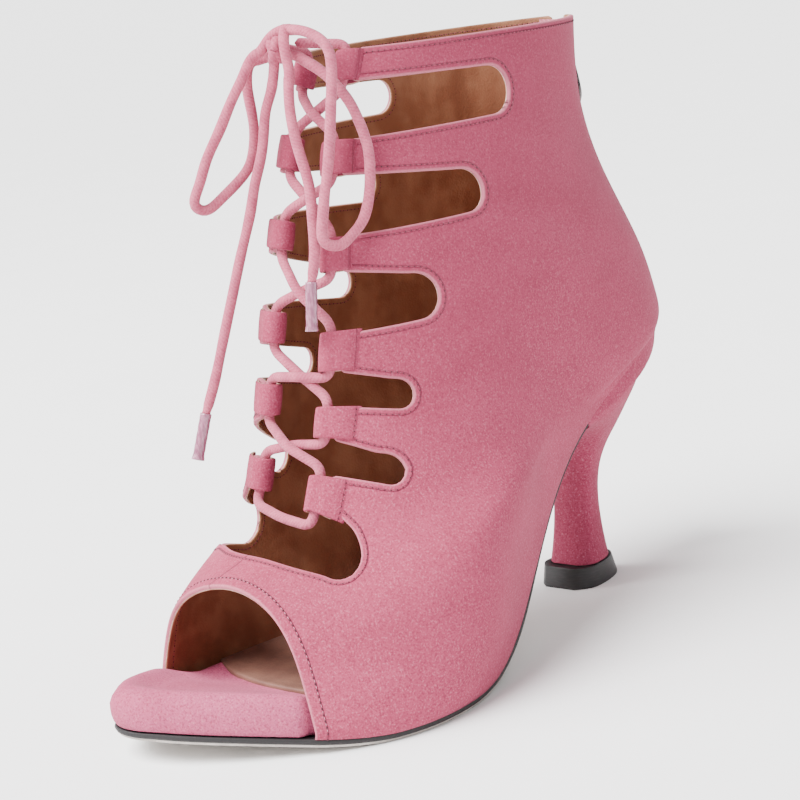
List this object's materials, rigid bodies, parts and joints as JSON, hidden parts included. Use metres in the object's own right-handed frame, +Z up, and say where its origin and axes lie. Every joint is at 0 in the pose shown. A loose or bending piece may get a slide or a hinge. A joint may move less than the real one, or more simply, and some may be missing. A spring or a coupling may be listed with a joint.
{
  "type": "lace-up peep-toe dance bootie",
  "caption": "Left peep-toe ankle bootie in suede with cut-out straps, front lacing in folded loops, back zip and slim covered heel.",
  "frame": {"origin": "middle of the forefoot's flat rest spot, on the floor", "axes": "+X to the lateral side of the left foot, +Y towards the heel, +Z up"},
  "size_m": [0.0907, 0.22, 0.1883],
  "materials": {
    "pink_suede": "napped suede",
    "pink_lace": "round woven cord",
    "beige_lining": "smooth lining leather",
    "black_sole": "matt",
    "black_rubber": "matt",
    "pink_tape": "woven zip tape",
    "dark_metal": "dark gunmetal",
    "clear_tip": "clear film over the lace"
  },
  "bodies": {
    "shoe": {"upper": "pink_suede", "footbed": "pink_suede", "sock_lining": "beige_lining", "outsole": "black_sole", "heel": "pink_suede", "heel_tip": "black_rubber", "zip_tape": "pink_tape", "zip_teeth": "dark_metal", "zip_slider": "dark_metal", "lace_crossings": "pink_lace", "lace_knot": "pink_lace", "bow_loop_left": "pink_lace", "bow_loop_right": "pink_lace", "lace_end_left": "pink_lace", "lace_end_right": "pink_lace", "lace_tip_left": "clear_tip", "lace_tip_right": "clear_tip"},
    "zip_pull": {"zip_pull": "dark_metal"}
  },
  "joints": [
    {"name": "zip_pull_hinge", "type": "hinge", "parent": "shoe", "child": "zip_pull", "pos_m": [0, 0.14353, 0.1688], "axis": [1, 0, 0], "range_deg": [0, 150]}
  ]
}
